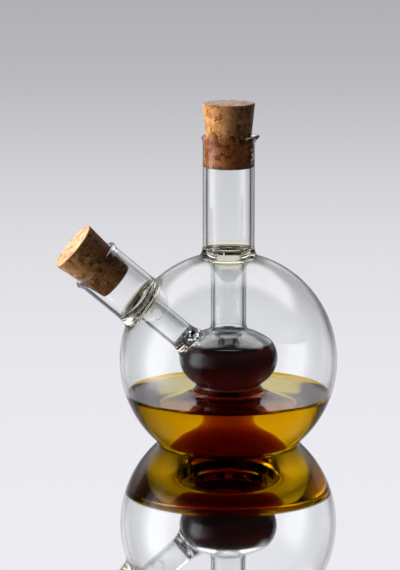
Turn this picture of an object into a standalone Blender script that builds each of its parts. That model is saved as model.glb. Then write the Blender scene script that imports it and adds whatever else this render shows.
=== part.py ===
"""Dual oil and vinegar bottle, blown and sealed by hand at the lamp.

A thin glass globe holds oil. A second, smaller vessel for vinegar is sealed to
the top neck and stands on the globe's floor. A side spout leads to the globe.
Two corks close the neck and the spout.

Frame: metres, +Z up, origin on the globe's upright axis at the resting plane,
side spout in the XZ plane towards -X.
"""
import math

import bmesh
import bpy
from mathutils import Vector

for old in list(bpy.data.objects):
    bpy.data.objects.remove(old, do_unlink=True)

# Fit between neighbouring pieces.
JOINT_GAP = 0.0003
CORK_CLEARANCE = 0.0003

# Globe: a sphere with a flattened bottom.
GLOBE_RADIUS = 0.0525
GLOBE_WALL = 0.0015
GLOBE_FLOOR = 0.0022
BASE_RADIUS = 0.0338
HEEL_RADIUS = 0.0030

# Upright neck with a rim bead and a pulled pouring lip on its +X side.
NECK_RADIUS = 0.0125
NECK_WALL = 0.0018
NECK_LENGTH = 0.0529
RIM_BEAD_RADIUS = 0.0012
LIP_REACH = 0.0026
LIP_DEPTH = 0.0050
LIP_HALF_WIDTH_SHARE = 0.17

# Ring seals, where a neck, the globe and an inner tube are melted together.
SEAL_RADIUS = 0.0150
SEAL_RISE = 0.0055
SEAL_SHELF_DROP = 0.0030
SEAL_ROOT_DROP = 0.0015

# Inner stem, the tube from the ring seal down to the inner vessel.
STEM_RADIUS = 0.0085
STEM_WALL = 0.0014
STEM_LENGTH = 0.0291

# Inner vessel: it fills the height between the globe's floor and the stem.
# Outline from the collar down, as shares of the bulb's radius and the vessel's height.
VESSEL_WALL = 0.0013
BULB_RADIUS = 0.0238
BULB_HEIGHT_SHARE = 0.705
SHOULDER_HEIGHT_SHARE = 0.920
VESSEL_OUTLINE_SHARES = (
    (0.403, 0.955),
    (0.601, SHOULDER_HEIGHT_SHARE),
    (0.891, 0.841),
    (1.000, BULB_HEIGHT_SHARE),
    (0.895, 0.567),
    (0.630, 0.444),
    (0.387, 0.326),
    (0.672, 0.237),
    (0.861, 0.132),
    (0.588, 0.000),
)

# Side spout: its axis leans up towards -X and crosses the upright axis a little
# below the bulb's widest line.
SPOUT_LEAN_DEGREES = 40.5
SPOUT_CROSSING_DROP = 0.0079
SPOUT_RADIUS = 0.0127
SPOUT_WALL = 0.0015
SPOUT_LENGTH = 0.0252

# Inner side tube: closed round end set into the bulb's shoulder, one oil port.
FINGER_RADIUS = 0.0065
FINGER_WALL = 0.0012
FINGER_TIP_DISTANCE = 0.0175
PORT_RADIUS = 0.0025
PORT_DROP = 0.0065

# Corks.
CORK_TOP_RADIUS = 0.0125
CORK_EDGE = 0.0005
TOP_CORK_LENGTH = 0.0308
TOP_CORK_INSERTION = 0.0152
SIDE_CORK_LENGTH = 0.0273
SIDE_CORK_INSERTION = 0.0137
SIDE_CORK_TIP_RADIUS = 0.00915

# Liquids.
OIL_LEVEL = 0.0247
VINEGAR_LEVEL_SHARE = 0.833

# Facets round each piece, and how the meshes are finished.
WIDE_FACETS = 36
TUBE_FACETS = 32
SLIM_FACETS = 24
FULL_TURN = 2.0 * math.pi
SHARP_DEGREES = 40.0
WELD_DISTANCE = 0.000001


def arc(centre, radius, start_degrees, end_degrees, steps):
    """Points (r, z) on a circle, angles counted from the +r direction."""
    points = []
    for step in range(steps + 1):
        share = step / steps
        angle = math.radians(start_degrees + (end_degrees - start_degrees) * share)
        points.append((centre[0] + radius * math.cos(angle), centre[1] + radius * math.sin(angle)))
    return points


def bend(start, start_way, end, end_way, steps):
    """Points (r, z) on a cubic curve that leaves and arrives along the two ways given."""
    points = []
    for step in range(steps + 1):
        t = step / steps
        stay = 2.0 * t ** 3 - 3.0 * t ** 2 + 1.0
        leave = t ** 3 - 2.0 * t ** 2 + t
        reach = 3.0 * t ** 2 - 2.0 * t ** 3
        arrive = t ** 3 - t ** 2
        points.append(tuple(
            stay * start[k] + leave * start_way[k] + reach * end[k] + arrive * end_way[k]
            for k in range(2)
        ))
    return points


def flowing_line(stations, steps):
    """Smooth line (r, z) through the stations, each leg cut into the same steps."""
    points = []
    last = len(stations) - 1
    for leg in range(last):
        before = stations[max(leg - 1, 0)]
        here = stations[leg]
        there = stations[leg + 1]
        after = stations[min(leg + 2, last)]
        leave = tuple((there[k] - before[k]) / 2.0 for k in range(2))
        arrive = tuple((after[k] - here[k]) / 2.0 for k in range(2))
        points.extend(bend(here, leave, there, arrive, steps)[:-1])
    points.append(stations[last])
    return points


def moved_line(points, distance):
    """The line moved sideways by the distance; plus is to the left of its run."""
    moved = []
    last = len(points) - 1
    for index, point in enumerate(points):
        before = points[max(index - 1, 0)]
        after = points[min(index + 1, last)]
        run = Vector((after[0] - before[0], after[1] - before[1])).normalized()
        radius = max(point[0] - run.y * distance, 0.0)
        moved.append((radius, point[1] + run.x * distance))
    return moved


def line_between(points, top, bottom):
    """The part of a falling line between two heights, with both ends exactly on them."""
    kept = []
    for before, here in zip(points[:-1], points[1:]):
        for height in (top, bottom):
            if before[1] > height >= here[1]:
                share = (before[1] - height) / (before[1] - here[1])
                kept.append((before[0] + (here[0] - before[0]) * share, height))
        if bottom < here[1] < top:
            kept.append(here)
    return sorted(kept, key=lambda point: -point[1])


def dome(radius, centre_height, floor_height, heel, top_height, steps):
    """Half outline of a flat-bottomed sphere, from the floor's middle to the top height."""
    heel_height = floor_height + heel
    heel_reach = math.sqrt((radius - heel) ** 2 - (centre_height - heel_height) ** 2)
    turn = math.degrees(math.atan2(heel_height - centre_height, heel_reach))
    top = math.degrees(math.asin((top_height - centre_height) / radius))
    outline = [(0.0, floor_height)]
    outline.extend(arc((heel_reach, heel_height), heel, -90.0, turn, 3))
    if top > 0.0:
        lower_steps = round(steps * turn / (turn - top))
        outline.extend(arc((0.0, centre_height), radius, turn, 0.0, lower_steps)[1:])
        outline.extend(arc((0.0, centre_height), radius, 0.0, top, steps - lower_steps)[1:])
    else:
        outline.extend(arc((0.0, centre_height), radius, turn, top, steps)[1:])
    return outline


def tube_with_bead(radius, wall, foot, rim):
    """Closed outline of a tube whose rim is melted into a round bead."""
    bore = radius - wall
    bead_centre = (bore + RIM_BEAD_RADIUS, rim - RIM_BEAD_RADIUS)
    outline = [(bore, foot), (radius, foot)]
    outline.append((radius, bead_centre[1] - RIM_BEAD_RADIUS))
    outline.extend(arc(bead_centre, RIM_BEAD_RADIUS, -30.0, 180.0, 7))
    return outline


def ring_seal(flange, inner_edge, outer_edge, tube, tube_wall, top, inner, inner_wall, root):
    """Closed outline of a ring seal: globe skin, outer tube and inner tube in one."""
    rise = top - outer_edge
    shelf = top - SEAL_SHELF_DROP
    outline = [(flange, inner_edge)]
    outline.extend(bend((flange, outer_edge), (-rise, rise / 3.0), (tube, top), (0.0, rise), 5))
    outline.extend(bend(
        (tube - tube_wall, top), (0.0, -SEAL_SHELF_DROP),
        (inner - inner_wall, shelf), (0.0, -SEAL_SHELF_DROP), 6,
    ))
    outline.append((inner - inner_wall, root))
    outline.extend(bend(
        (inner, root), (0.0, rise),
        (flange, inner_edge), (rise, -rise / 3.0), 5,
    )[:-1])
    return outline


def turned(name, outline, facets, material, distance=0.0, along=None):
    """Closed body: the outline (r, z) spun round the local Z axis.

    The piece sits at the distance up its own axis: the world's upright axis, or
    the axis of the empty it is parented to.
    """
    body = bmesh.new()
    corners = [body.verts.new((radius, 0.0, height)) for radius, height in outline]
    edges = []
    for here, there in zip(corners, corners[1:] + corners[:1]):
        if here.co.x > 0.0 or there.co.x > 0.0:
            edges.append(body.edges.new((here, there)))
    bmesh.ops.spin(
        body, geom=corners + edges, cent=(0.0, 0.0, 0.0), axis=(0.0, 0.0, 1.0),
        angle=FULL_TURN, steps=facets, use_merge=True,
    )
    bmesh.ops.remove_doubles(body, verts=body.verts, dist=WELD_DISTANCE)
    bmesh.ops.recalc_face_normals(body, faces=body.faces)
    mesh = bpy.data.meshes.new(name)
    body.to_mesh(mesh)
    body.free()
    mesh.shade_smooth()
    mesh.set_sharp_from_angle(angle=math.radians(SHARP_DEGREES))
    mesh.materials.append(material)
    piece = bpy.data.objects.new(name, mesh)
    bpy.context.scene.collection.objects.link(piece)
    piece.parent = along
    piece.location = (0.0, 0.0, distance)
    return piece


def cut_away(piece, cutter):
    """Take the cutter's space out of the piece; the cutter itself stays hidden."""
    cutter.hide_render = True
    cutter.display_type = "WIRE"
    cut = piece.modifiers.new("cut_" + cutter.name, "BOOLEAN")
    cut.operation = "DIFFERENCE"
    cut.solver = "EXACT"
    cut.object = cutter


def surface(name, colour, roughness, see_through, ior):
    """Plain shader with the colour read from the photo."""
    material = bpy.data.materials.new(name)
    material.use_nodes = True
    shader = material.node_tree.nodes["Principled BSDF"]
    shader.inputs["Base Color"].default_value = (*colour, 1.0)
    shader.inputs["Roughness"].default_value = roughness
    shader.inputs["Transmission Weight"].default_value = see_through
    shader.inputs["IOR"].default_value = ior
    return material


def skin_height(sphere_radius, reach):
    """Height of a sphere round the globe's centre, at the reach from the upright axis."""
    return GLOBE_CENTRE_HEIGHT + math.sqrt(sphere_radius ** 2 - reach ** 2)


def skin_distance(sphere_radius, sideways, upwards):
    """Distance up the spout's axis to such a sphere, at a place beside that axis."""
    rest = (upwards - GLOBE_OFFSET) ** 2 + sideways ** 2
    return GLOBE_ALONG + math.sqrt(sphere_radius ** 2 - rest)


# Globe centre, upper ring seal and neck, measured up the upright axis.
GLOBE_CENTRE_HEIGHT = math.sqrt(GLOBE_RADIUS ** 2 - BASE_RADIUS ** 2)
GLOBE_INNER_RADIUS = GLOBE_RADIUS - GLOBE_WALL
top_seal_edge = skin_height(GLOBE_RADIUS, SEAL_RADIUS)
top_seal_inner = skin_height(GLOBE_INNER_RADIUS, SEAL_RADIUS)
top_seal_end = top_seal_edge + SEAL_RISE
top_seal_root = top_seal_inner - SEAL_ROOT_DROP
neck_foot = top_seal_end + JOINT_GAP
neck_rim = neck_foot + NECK_LENGTH

# Inner stem and vessel, measured down from the seal to the globe's floor.
stem_top = top_seal_root - JOINT_GAP
stem_foot = stem_top - STEM_LENGTH
collar_height = stem_foot - JOINT_GAP
vessel_foot = GLOBE_FLOOR + JOINT_GAP
vessel_height = collar_height - vessel_foot
bulb_height = vessel_foot + vessel_height * BULB_HEIGHT_SHARE
vinegar_level = vessel_foot + vessel_height * VINEGAR_LEVEL_SHARE
spout_crossing_height = bulb_height - SPOUT_CROSSING_DROP

# The globe's centre as the spout's axis sees it.
CENTRE_OVER_CROSSING = GLOBE_CENTRE_HEIGHT - spout_crossing_height
GLOBE_ALONG = CENTRE_OVER_CROSSING * math.sin(math.radians(SPOUT_LEAN_DEGREES))
GLOBE_OFFSET = CENTRE_OVER_CROSSING * math.cos(math.radians(SPOUT_LEAN_DEGREES))

# Axis of the side spout: its local +Z runs out through the spout.
spout_axis = bpy.data.objects.new("spout_axis", None)
bpy.context.scene.collection.objects.link(spout_axis)
spout_axis.location = (0.0, 0.0, spout_crossing_height)
spout_axis.rotation_euler = (0.0, math.radians(SPOUT_LEAN_DEGREES - 90.0), 0.0)
spout_axis.empty_display_size = SPOUT_RADIUS

# Side ring seal and spout, measured along the spout's axis from the crossing.
side_seal_edge = skin_distance(GLOBE_RADIUS, SEAL_RADIUS, 0.0)
side_seal_inner = skin_distance(GLOBE_INNER_RADIUS, SEAL_RADIUS, 0.0)
side_seal_end = side_seal_edge + SEAL_RISE
side_seal_root = side_seal_inner - SEAL_ROOT_DROP
spout_foot = side_seal_end + JOINT_GAP
spout_rim = spout_foot + SPOUT_LENGTH

# Inner vessel outline, shared by the vessel and by both liquids that touch it.
vessel_stations = [(STEM_RADIUS, collar_height)]
for radius_share, height_share in VESSEL_OUTLINE_SHARES:
    station_height = vessel_foot + vessel_height * height_share
    vessel_stations.append((BULB_RADIUS * radius_share, station_height))
vessel_skin = flowing_line(vessel_stations, 2)
vessel_floor = vessel_foot + VESSEL_WALL
vessel_lining = moved_line(vessel_skin, -VESSEL_WALL)
vessel_lining[0] = (STEM_RADIUS - STEM_WALL, collar_height)
vessel_lining[-1] = (vessel_lining[-1][0], vessel_floor)


# Outer globe: blown clear glass, flat on the table, opened for both seals.
globe_glass = surface("globe_glass", (0.93, 0.95, 0.94), 0.02, 1.0, 1.47)
inner_heel = HEEL_RADIUS - GLOBE_WALL
opening = SEAL_RADIUS + JOINT_GAP
globe_skin = dome(
    GLOBE_RADIUS, GLOBE_CENTRE_HEIGHT, 0.0, HEEL_RADIUS,
    skin_height(GLOBE_RADIUS, opening), 17,
)
globe_lining = dome(
    GLOBE_INNER_RADIUS, GLOBE_CENTRE_HEIGHT, GLOBE_FLOOR, inner_heel,
    skin_height(GLOBE_INNER_RADIUS, opening), 15,
)
outer_globe = turned("outer_globe", globe_skin + globe_lining[::-1], WIDE_FACETS, globe_glass)
side_opening = turned(
    "side_opening",
    [
        (0.0, side_seal_root - SEAL_RISE),
        (opening, side_seal_root - SEAL_RISE),
        (opening, side_seal_end),
        (0.0, side_seal_end),
    ],
    TUBE_FACETS, globe_glass, along=spout_axis,
)
cut_away(outer_globe, side_opening)


# Top neck: straight tube, bead at the rim, pouring lip pulled out towards +X.
neck_glass = surface("neck_glass", (0.93, 0.95, 0.94), 0.02, 1.0, 1.47)
top_neck = turned(
    "top_neck",
    tube_with_bead(NECK_RADIUS, NECK_WALL, neck_foot, neck_rim),
    TUBE_FACETS, neck_glass,
)
for corner in top_neck.data.vertices:
    lift = (corner.co.z - neck_rim + LIP_DEPTH) / LIP_DEPTH
    side = math.atan2(corner.co.y, corner.co.x) / (math.pi * LIP_HALF_WIDTH_SHARE)
    if lift > 0.0 and abs(side) < 1.0:
        corner.co.x += LIP_REACH * lift ** 2 * math.cos(side * math.pi / 2.0) ** 2


# Upper ring seal: three glass walls melted together, faint olive tint.
seal_glass = surface("top_seal_glass", (0.62, 0.60, 0.36), 0.03, 1.0, 1.47)
top_seal_ring = turned(
    "top_seal_ring",
    ring_seal(
        SEAL_RADIUS, top_seal_inner, top_seal_edge,
        NECK_RADIUS, NECK_WALL, top_seal_end,
        STEM_RADIUS, STEM_WALL, top_seal_root,
    ),
    TUBE_FACETS, seal_glass,
)


# Inner stem: slim tube from the ring seal to the vessel's collar.
stem_glass = surface("stem_glass", (0.93, 0.95, 0.94), 0.02, 1.0, 1.47)
stem_bore = STEM_RADIUS - STEM_WALL
inner_stem = turned(
    "inner_stem",
    [
        (stem_bore, stem_foot),
        (STEM_RADIUS, stem_foot),
        (STEM_RADIUS, stem_top),
        (stem_bore, stem_top),
    ],
    TUBE_FACETS, stem_glass,
)


# Inner vessel: blown bulb, waist, column and foot chamber in one wall.
vessel_glass = surface("vessel_glass", (0.90, 0.92, 0.88), 0.02, 1.0, 1.47)
inner_bulb = turned(
    "inner_bulb",
    vessel_skin
    + [(0.0, vessel_foot), (0.0, vessel_floor)]
    + vessel_lining[::-1],
    TUBE_FACETS, vessel_glass,
)
finger_top = side_seal_root - JOINT_GAP
finger_reach = FINGER_RADIUS + JOINT_GAP
shoulder_opening = turned(
    "shoulder_opening",
    [(0.0, FINGER_TIP_DISTANCE - JOINT_GAP)]
    + arc((0.0, FINGER_TIP_DISTANCE + FINGER_RADIUS), finger_reach, -70.0, 0.0, 4)
    + [(finger_reach, finger_top), (0.0, finger_top)],
    SLIM_FACETS, vessel_glass, along=spout_axis,
)
cut_away(inner_bulb, shoulder_opening)


# Side spout: tube of the neck's width, bead at the rim.
spout_glass = surface("spout_glass", (0.93, 0.95, 0.94), 0.02, 1.0, 1.47)
side_spout = turned(
    "side_spout",
    tube_with_bead(SPOUT_RADIUS, SPOUT_WALL, spout_foot, spout_rim),
    TUBE_FACETS, spout_glass, along=spout_axis,
)


# Side ring seal: spout, globe and inner side tube melted together. The spout
# leans off the globe's radius, so the flange is tilted to follow the sphere.
side_seal_glass = surface("side_seal_glass", (0.66, 0.64, 0.42), 0.03, 1.0, 1.47)
side_seal_ring = turned(
    "side_seal_ring",
    ring_seal(
        SEAL_RADIUS, side_seal_inner, side_seal_edge,
        SPOUT_RADIUS, SPOUT_WALL, side_seal_end,
        FINGER_RADIUS, FINGER_WALL, side_seal_root,
    ),
    TUBE_FACETS, side_seal_glass, along=spout_axis,
)
for corner in side_seal_ring.data.vertices:
    reach = math.hypot(corner.co.x, corner.co.y)
    flange_share = max(reach - SPOUT_RADIUS, 0.0) / (SEAL_RADIUS - SPOUT_RADIUS)
    tilted = skin_distance(GLOBE_RADIUS, corner.co.y, corner.co.x)
    level = skin_distance(GLOBE_RADIUS, reach, 0.0)
    corner.co.z += flange_share * (tilted - level)


# Inner side tube: round closed end in the vessel's shoulder, port for the oil.
finger_glass = surface("finger_glass", (0.93, 0.95, 0.92), 0.02, 1.0, 1.47)
finger_centre = (0.0, FINGER_TIP_DISTANCE + FINGER_RADIUS)
finger_bore = FINGER_RADIUS - FINGER_WALL
inner_side_tube = turned(
    "inner_side_tube",
    [(0.0, FINGER_TIP_DISTANCE)]
    + arc(finger_centre, FINGER_RADIUS, -70.0, 0.0, 4)
    + [(FINGER_RADIUS, finger_top), (finger_bore, finger_top)]
    + arc(finger_centre, finger_bore, 0.0, -70.0, 4)
    + [(0.0, FINGER_TIP_DISTANCE + FINGER_WALL)],
    SLIM_FACETS, finger_glass, along=spout_axis,
)
oil_port = turned(
    "oil_port",
    [
        (0.0, finger_bore / 2.0),
        (PORT_RADIUS, finger_bore / 2.0),
        (PORT_RADIUS, FINGER_RADIUS + FINGER_WALL),
        (0.0, FINGER_RADIUS + FINGER_WALL),
    ],
    SLIM_FACETS, finger_glass, finger_top - PORT_DROP, spout_axis,
)
oil_port.rotation_euler = (-math.pi / 2.0, 0.0, 0.0)
cut_away(inner_side_tube, oil_port)


# Top cork: tapered above the rim, squeezed straight inside the neck.
top_cork_skin = surface("top_cork_skin", (0.42, 0.22, 0.10), 0.9, 0.0, 1.4)
top_cork_reach = NECK_RADIUS - NECK_WALL - CORK_CLEARANCE
top_cork_head = TOP_CORK_LENGTH - TOP_CORK_INSERTION
top_cork = turned(
    "top_cork",
    [
        (0.0, -TOP_CORK_INSERTION),
        (top_cork_reach - CORK_EDGE, -TOP_CORK_INSERTION),
        (top_cork_reach, CORK_EDGE - TOP_CORK_INSERTION),
        (top_cork_reach, -RIM_BEAD_RADIUS),
        (CORK_TOP_RADIUS, top_cork_head - CORK_EDGE),
        (CORK_TOP_RADIUS - CORK_EDGE, top_cork_head),
        (0.0, top_cork_head),
    ],
    TUBE_FACETS, top_cork_skin, neck_rim,
)


# Side cork: plain taper, pushed in until the rim holds it.
side_cork_skin = surface("side_cork_skin", (0.50, 0.28, 0.13), 0.9, 0.0, 1.4)
side_cork_head = SIDE_CORK_LENGTH - SIDE_CORK_INSERTION
side_cork = turned(
    "side_cork",
    [
        (0.0, -SIDE_CORK_INSERTION),
        (SIDE_CORK_TIP_RADIUS - CORK_EDGE, -SIDE_CORK_INSERTION),
        (SIDE_CORK_TIP_RADIUS, CORK_EDGE - SIDE_CORK_INSERTION),
        (CORK_TOP_RADIUS, side_cork_head - CORK_EDGE),
        (CORK_TOP_RADIUS - CORK_EDGE, side_cork_head),
        (0.0, side_cork_head),
    ],
    TUBE_FACETS, side_cork_skin, spout_rim, spout_axis,
)


# Oil: fills the bottom of the globe round the inner vessel.
oil_gold = surface("oil_gold", (0.55, 0.28, 0.01), 0.02, 0.6, 1.47)
oil_floor = GLOBE_FLOOR + JOINT_GAP
oil_reach = GLOBE_INNER_RADIUS - JOINT_GAP
oil_turn = dome(oil_reach, GLOBE_CENTRE_HEIGHT, oil_floor, inner_heel, OIL_LEVEL, 6)[1:]
oil_inner = line_between(moved_line(vessel_skin, JOINT_GAP), OIL_LEVEL, oil_floor)
oil = turned("oil", oil_inner + oil_turn, WIDE_FACETS, oil_gold)


# Vinegar: fills the inner vessel up to just under the shoulder.
vinegar_red = surface("vinegar_red", (0.03, 0.002, 0.002), 0.02, 0.3, 1.34)
vinegar_floor = vessel_floor + JOINT_GAP
vinegar_reach = -VESSEL_WALL - JOINT_GAP
vinegar_skin = line_between(moved_line(vessel_skin, vinegar_reach), vinegar_level, vinegar_floor)
vinegar = turned(
    "vinegar",
    [(0.0, vinegar_level)] + vinegar_skin + [(0.0, vinegar_floor)],
    TUBE_FACETS, vinegar_red,
)
cut_away(vinegar, shoulder_opening)
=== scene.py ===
"""Dual oil and vinegar bottle: the looks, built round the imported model.

Clear blown glass with a second vessel sealed inside, two corks, oil and vinegar,
on a glossy pale table in soft studio light.
"""

import math

import bpy
import numpy as np
from mathutils import Matrix, Vector
from mathutils.geometry import delaunay_2d_cdt


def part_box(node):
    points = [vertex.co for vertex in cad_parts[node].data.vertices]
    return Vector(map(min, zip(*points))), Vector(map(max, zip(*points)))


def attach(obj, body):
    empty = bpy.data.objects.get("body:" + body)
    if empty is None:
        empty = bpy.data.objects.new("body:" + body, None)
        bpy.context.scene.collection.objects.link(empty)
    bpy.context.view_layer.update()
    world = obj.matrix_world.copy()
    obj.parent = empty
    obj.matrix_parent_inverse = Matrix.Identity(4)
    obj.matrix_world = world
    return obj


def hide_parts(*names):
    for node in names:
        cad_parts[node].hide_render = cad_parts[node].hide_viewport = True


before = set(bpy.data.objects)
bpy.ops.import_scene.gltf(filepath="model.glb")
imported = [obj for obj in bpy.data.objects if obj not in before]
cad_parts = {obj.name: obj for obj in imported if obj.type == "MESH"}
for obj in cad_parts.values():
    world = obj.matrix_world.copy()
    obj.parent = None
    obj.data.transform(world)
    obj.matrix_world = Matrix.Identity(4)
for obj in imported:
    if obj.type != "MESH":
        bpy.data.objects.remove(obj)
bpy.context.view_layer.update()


# Glass body

# One fused piece of clear borosilicate glass. Globe, neck, stem, inner vessel,
# spout and side tube are blown and drawn apart, then melted together at ring
# seals in the lamp's flame, so every joint is a smooth, slightly thick fillet.

globe_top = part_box("outer_globe")[1]
neck_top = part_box("top_neck")[1]
stem_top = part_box("inner_stem")[1]
vessel_low, vessel_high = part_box("inner_bulb")

GLOBE_RADIUS = globe_top.y
GLOBE_WALL = 0.0015
GLOBE_FLOOR = 0.0022
BASE_RADIUS = 0.0338
HEEL_RADIUS = 0.0030
PUNT_RISE = 0.0005
GLOBE_CENTRE = math.sqrt(GLOBE_RADIUS ** 2 - BASE_RADIUS ** 2)
SEAL_RADIUS = 0.0150
SEAL_RISE = 0.0055
NECK_RADIUS = 0.0125
NECK_BORE = 0.0107
NECK_RIM = neck_top.z
BEAD_RADIUS = 0.0012
BEAD_FOOT = 3.4 * BEAD_RADIUS
CLOSE_ROWS = 0.0062
LIP_REACH = 0.0026
LIP_DEPTH = 0.0050
LIP_HALF_WIDTH = math.radians(30.6)
SHELF_DEPTH = 0.0025
SHELF_LIP = 0.0086
STEM_MOUTH_DROP = 0.0020
STEM_RADIUS = stem_top.y
STEM_BORE = 0.0071
STEM_TOP = stem_top.z
BULB_RADIUS = vessel_high.y
VESSEL_WALL = 0.0013
VESSEL_COLLAR = vessel_high.z
VESSEL_FOOT = vessel_low.z
VESSEL_SHARES = (
    (0.403, 0.955), (0.601, 0.920), (0.891, 0.841), (1.000, 0.705), (0.895, 0.567),
    (0.600, 0.446), (0.387, 0.326), (0.672, 0.237), (0.861, 0.132),
)
FOOT_EDGE = (0.0158, 0.0046)
FLOOR_EDGE = (0.0195, GLOBE_FLOOR)
LINING_REACH = 0.0115
# A way (r, z) says how a curve sets off or arrives; a longer one makes it fuller.
SHELF_WAY = (-0.0022, -0.0003)
NECK_WAY, STEM_WAY, LINING_WAY = (0.0, -0.0032), (0.0, -0.0022), (-0.004, 0.0)
FLOOR_WAY, FOOT_WAY = (-0.0075, 0.0), (0.0048, 0.0052)
ROUND_SIDES = 160
HALVINGS = 48
OPENING_MARGIN = 0.45
SAME_PLACE = 1e-7
PLACES_PER_METRE = 1e8


def arc(centre, radius, start, end, steps):
    """Points (r, z) on a circle, angles in degrees from the +r direction."""
    angles = np.radians(np.linspace(start, end, steps + 1))
    return [(centre[0] + radius * math.cos(a), centre[1] + radius * math.sin(a)) for a in angles]


def bend(start, start_way, end, end_way, steps):
    """Points on a cubic curve that leaves and arrives along the two ways given."""
    t = np.linspace(0.0, 1.0, steps + 1).reshape((-1,) + (1,) * np.ndim(start))
    leaving = (2 * t ** 3 - 3 * t ** 2 + 1) * np.array(start)
    leaving = leaving + (t ** 3 - 2 * t ** 2 + t) * np.array(start_way)
    return leaving + (3 * t ** 2 - 2 * t ** 3) * np.array(end) + (t ** 3 - t ** 2) * np.array(end_way)


def flowing_line(stations, steps):
    """Smooth line through the stations, each leg cut into the same steps."""
    stations = np.array(stations)
    ways = np.gradient(stations, axis=0)
    legs = [
        bend(stations[k], ways[k], stations[k + 1], ways[k + 1], steps)[:-1]
        for k in range(len(stations) - 1)
    ]
    return np.concatenate(legs + [stations[-1:]])


def unit(ways):
    """Each way at a length of one."""
    return ways / np.linalg.norm(ways, axis=1, keepdims=True)


def moved_line(points, distance):
    """The line moved sideways by the distance; plus is to the left of its run."""
    run = unit(np.gradient(points, axis=0))
    return points + distance * np.stack([-run[:, 1], run[:, 0]], axis=1)


def line(*parts):
    """One outline from parts, without the points that repeat where parts meet."""
    points = np.concatenate([np.array(part, float) for part in parts])
    fresh = np.ones(len(points), bool)
    fresh[1:] = np.linalg.norm(np.diff(points, axis=0), axis=1) > SAME_PLACE
    return points[fresh]


def straight(start, end, steps):
    """Evenly spaced points from start to end."""
    return np.linspace(start, end, steps + 1)


def upright(radius, start, end, steps):
    """Evenly spaced points at one radius, from height start to height end."""
    return straight((radius, start), (radius, end), steps)


class Opening:
    """A closed loop on a skin, where a tube joins it."""

    def __init__(self, points, places, normals, ways):
        self.points, self.places, self.normals, self.ways = points, places, normals, ways


class Skin:
    """An outline (r, z) spun round the upright axis, with the glass on its left."""

    def __init__(self, outline, sides):
        self.outline = np.array(outline)
        self.sides = sides
        angles = np.arange(sides) * (2.0 * np.pi / sides)
        radius, height = self.outline.T[:, :, None]
        self.points = np.stack(
            [radius * np.cos(angles), radius * np.sin(angles), height + 0.0 * angles], axis=-1)
        self.openings = []

    def meet(self, starts, way, near, far, rows):
        """Where lines leave the skin, with the skin's slope towards the loop's middle."""
        radius, height = self.outline[rows].T
        order = np.argsort(height)
        rows, radius, height = rows[order], radius[order], height[order]
        near, far = np.full(len(starts), near), np.full(len(starts), far)
        for _ in range(HALVINGS):
            middle = (near + far) / 2.0
            points = starts + way * middle[:, None]
            outside = np.hypot(points[:, 0], points[:, 1]) > np.interp(points[:, 2], height, radius)
            near, far = np.where(outside, near, middle), np.where(outside, middle, far)
        row = np.interp(points[:, 2], height, rows)
        angle = np.arctan2(points[:, 1], points[:, 0])
        run = np.gradient(self.outline, axis=0)
        run = np.stack([np.interp(row, np.arange(len(run)), run[:, k]) for k in range(2)], axis=1)
        facing = np.stack([run[:, 1] * np.cos(angle), run[:, 1] * np.sin(angle), -run[:, 0]], axis=1)
        normals = unit(facing)
        turning = np.roll(starts, -1, 0) - np.roll(starts, 1, 0)
        ways = unit(np.cross(normals, turning))
        inward = np.sum(ways * (starts - starts.mean(0)), axis=1, keepdims=True) < 0.0
        ways = np.where(inward, ways, -ways)
        column = (angle % (2.0 * np.pi)) * self.sides / (2.0 * np.pi)
        return Opening(points, np.stack([column, row], axis=1), normals, ways)

    def patch(self):
        """Points, normals and faces, with the skin left open inside each opening."""
        rows, sides = self.points.shape[:2]
        normals = grid_normals(self.points)
        cells = np.ones((rows - 1, sides), bool)
        points, extra_normals, faces = [self.points.reshape(-1, 3)], [normals.reshape(-1, 3)], []
        count = rows * sides
        for opening in self.openings:
            triangles, block = open_cells(opening, rows, sides, count)
            cells[block] = False
            faces.extend(triangles)
            points.append(opening.points)
            extra_normals.append(opening.normals)
            count += len(opening.points)
        for row, column in np.argwhere(cells):
            after = (column + 1) % sides
            faces.append((row * sides + column, row * sides + after,
                          (row + 1) * sides + after, (row + 1) * sides + column))
        return np.concatenate(points), np.concatenate(extra_normals), faces


def grid_normals(grid):
    """Unit normals of a grid that closes round, on the right of its run."""
    normals = np.cross(np.roll(grid, -1, 1) - np.roll(grid, 1, 1), np.gradient(grid, axis=0))
    length = np.linalg.norm(normals, axis=2, keepdims=True)
    normals = normals / np.maximum(length, 1e-20)
    for row in np.flatnonzero(np.linalg.norm(grid - grid[:, :1], axis=2).max(1) < 1e-9):
        beside = normals[row + 1 if row == 0 else row - 1].sum(0)
        normals[row] = beside / np.linalg.norm(beside)
    return normals


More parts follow.
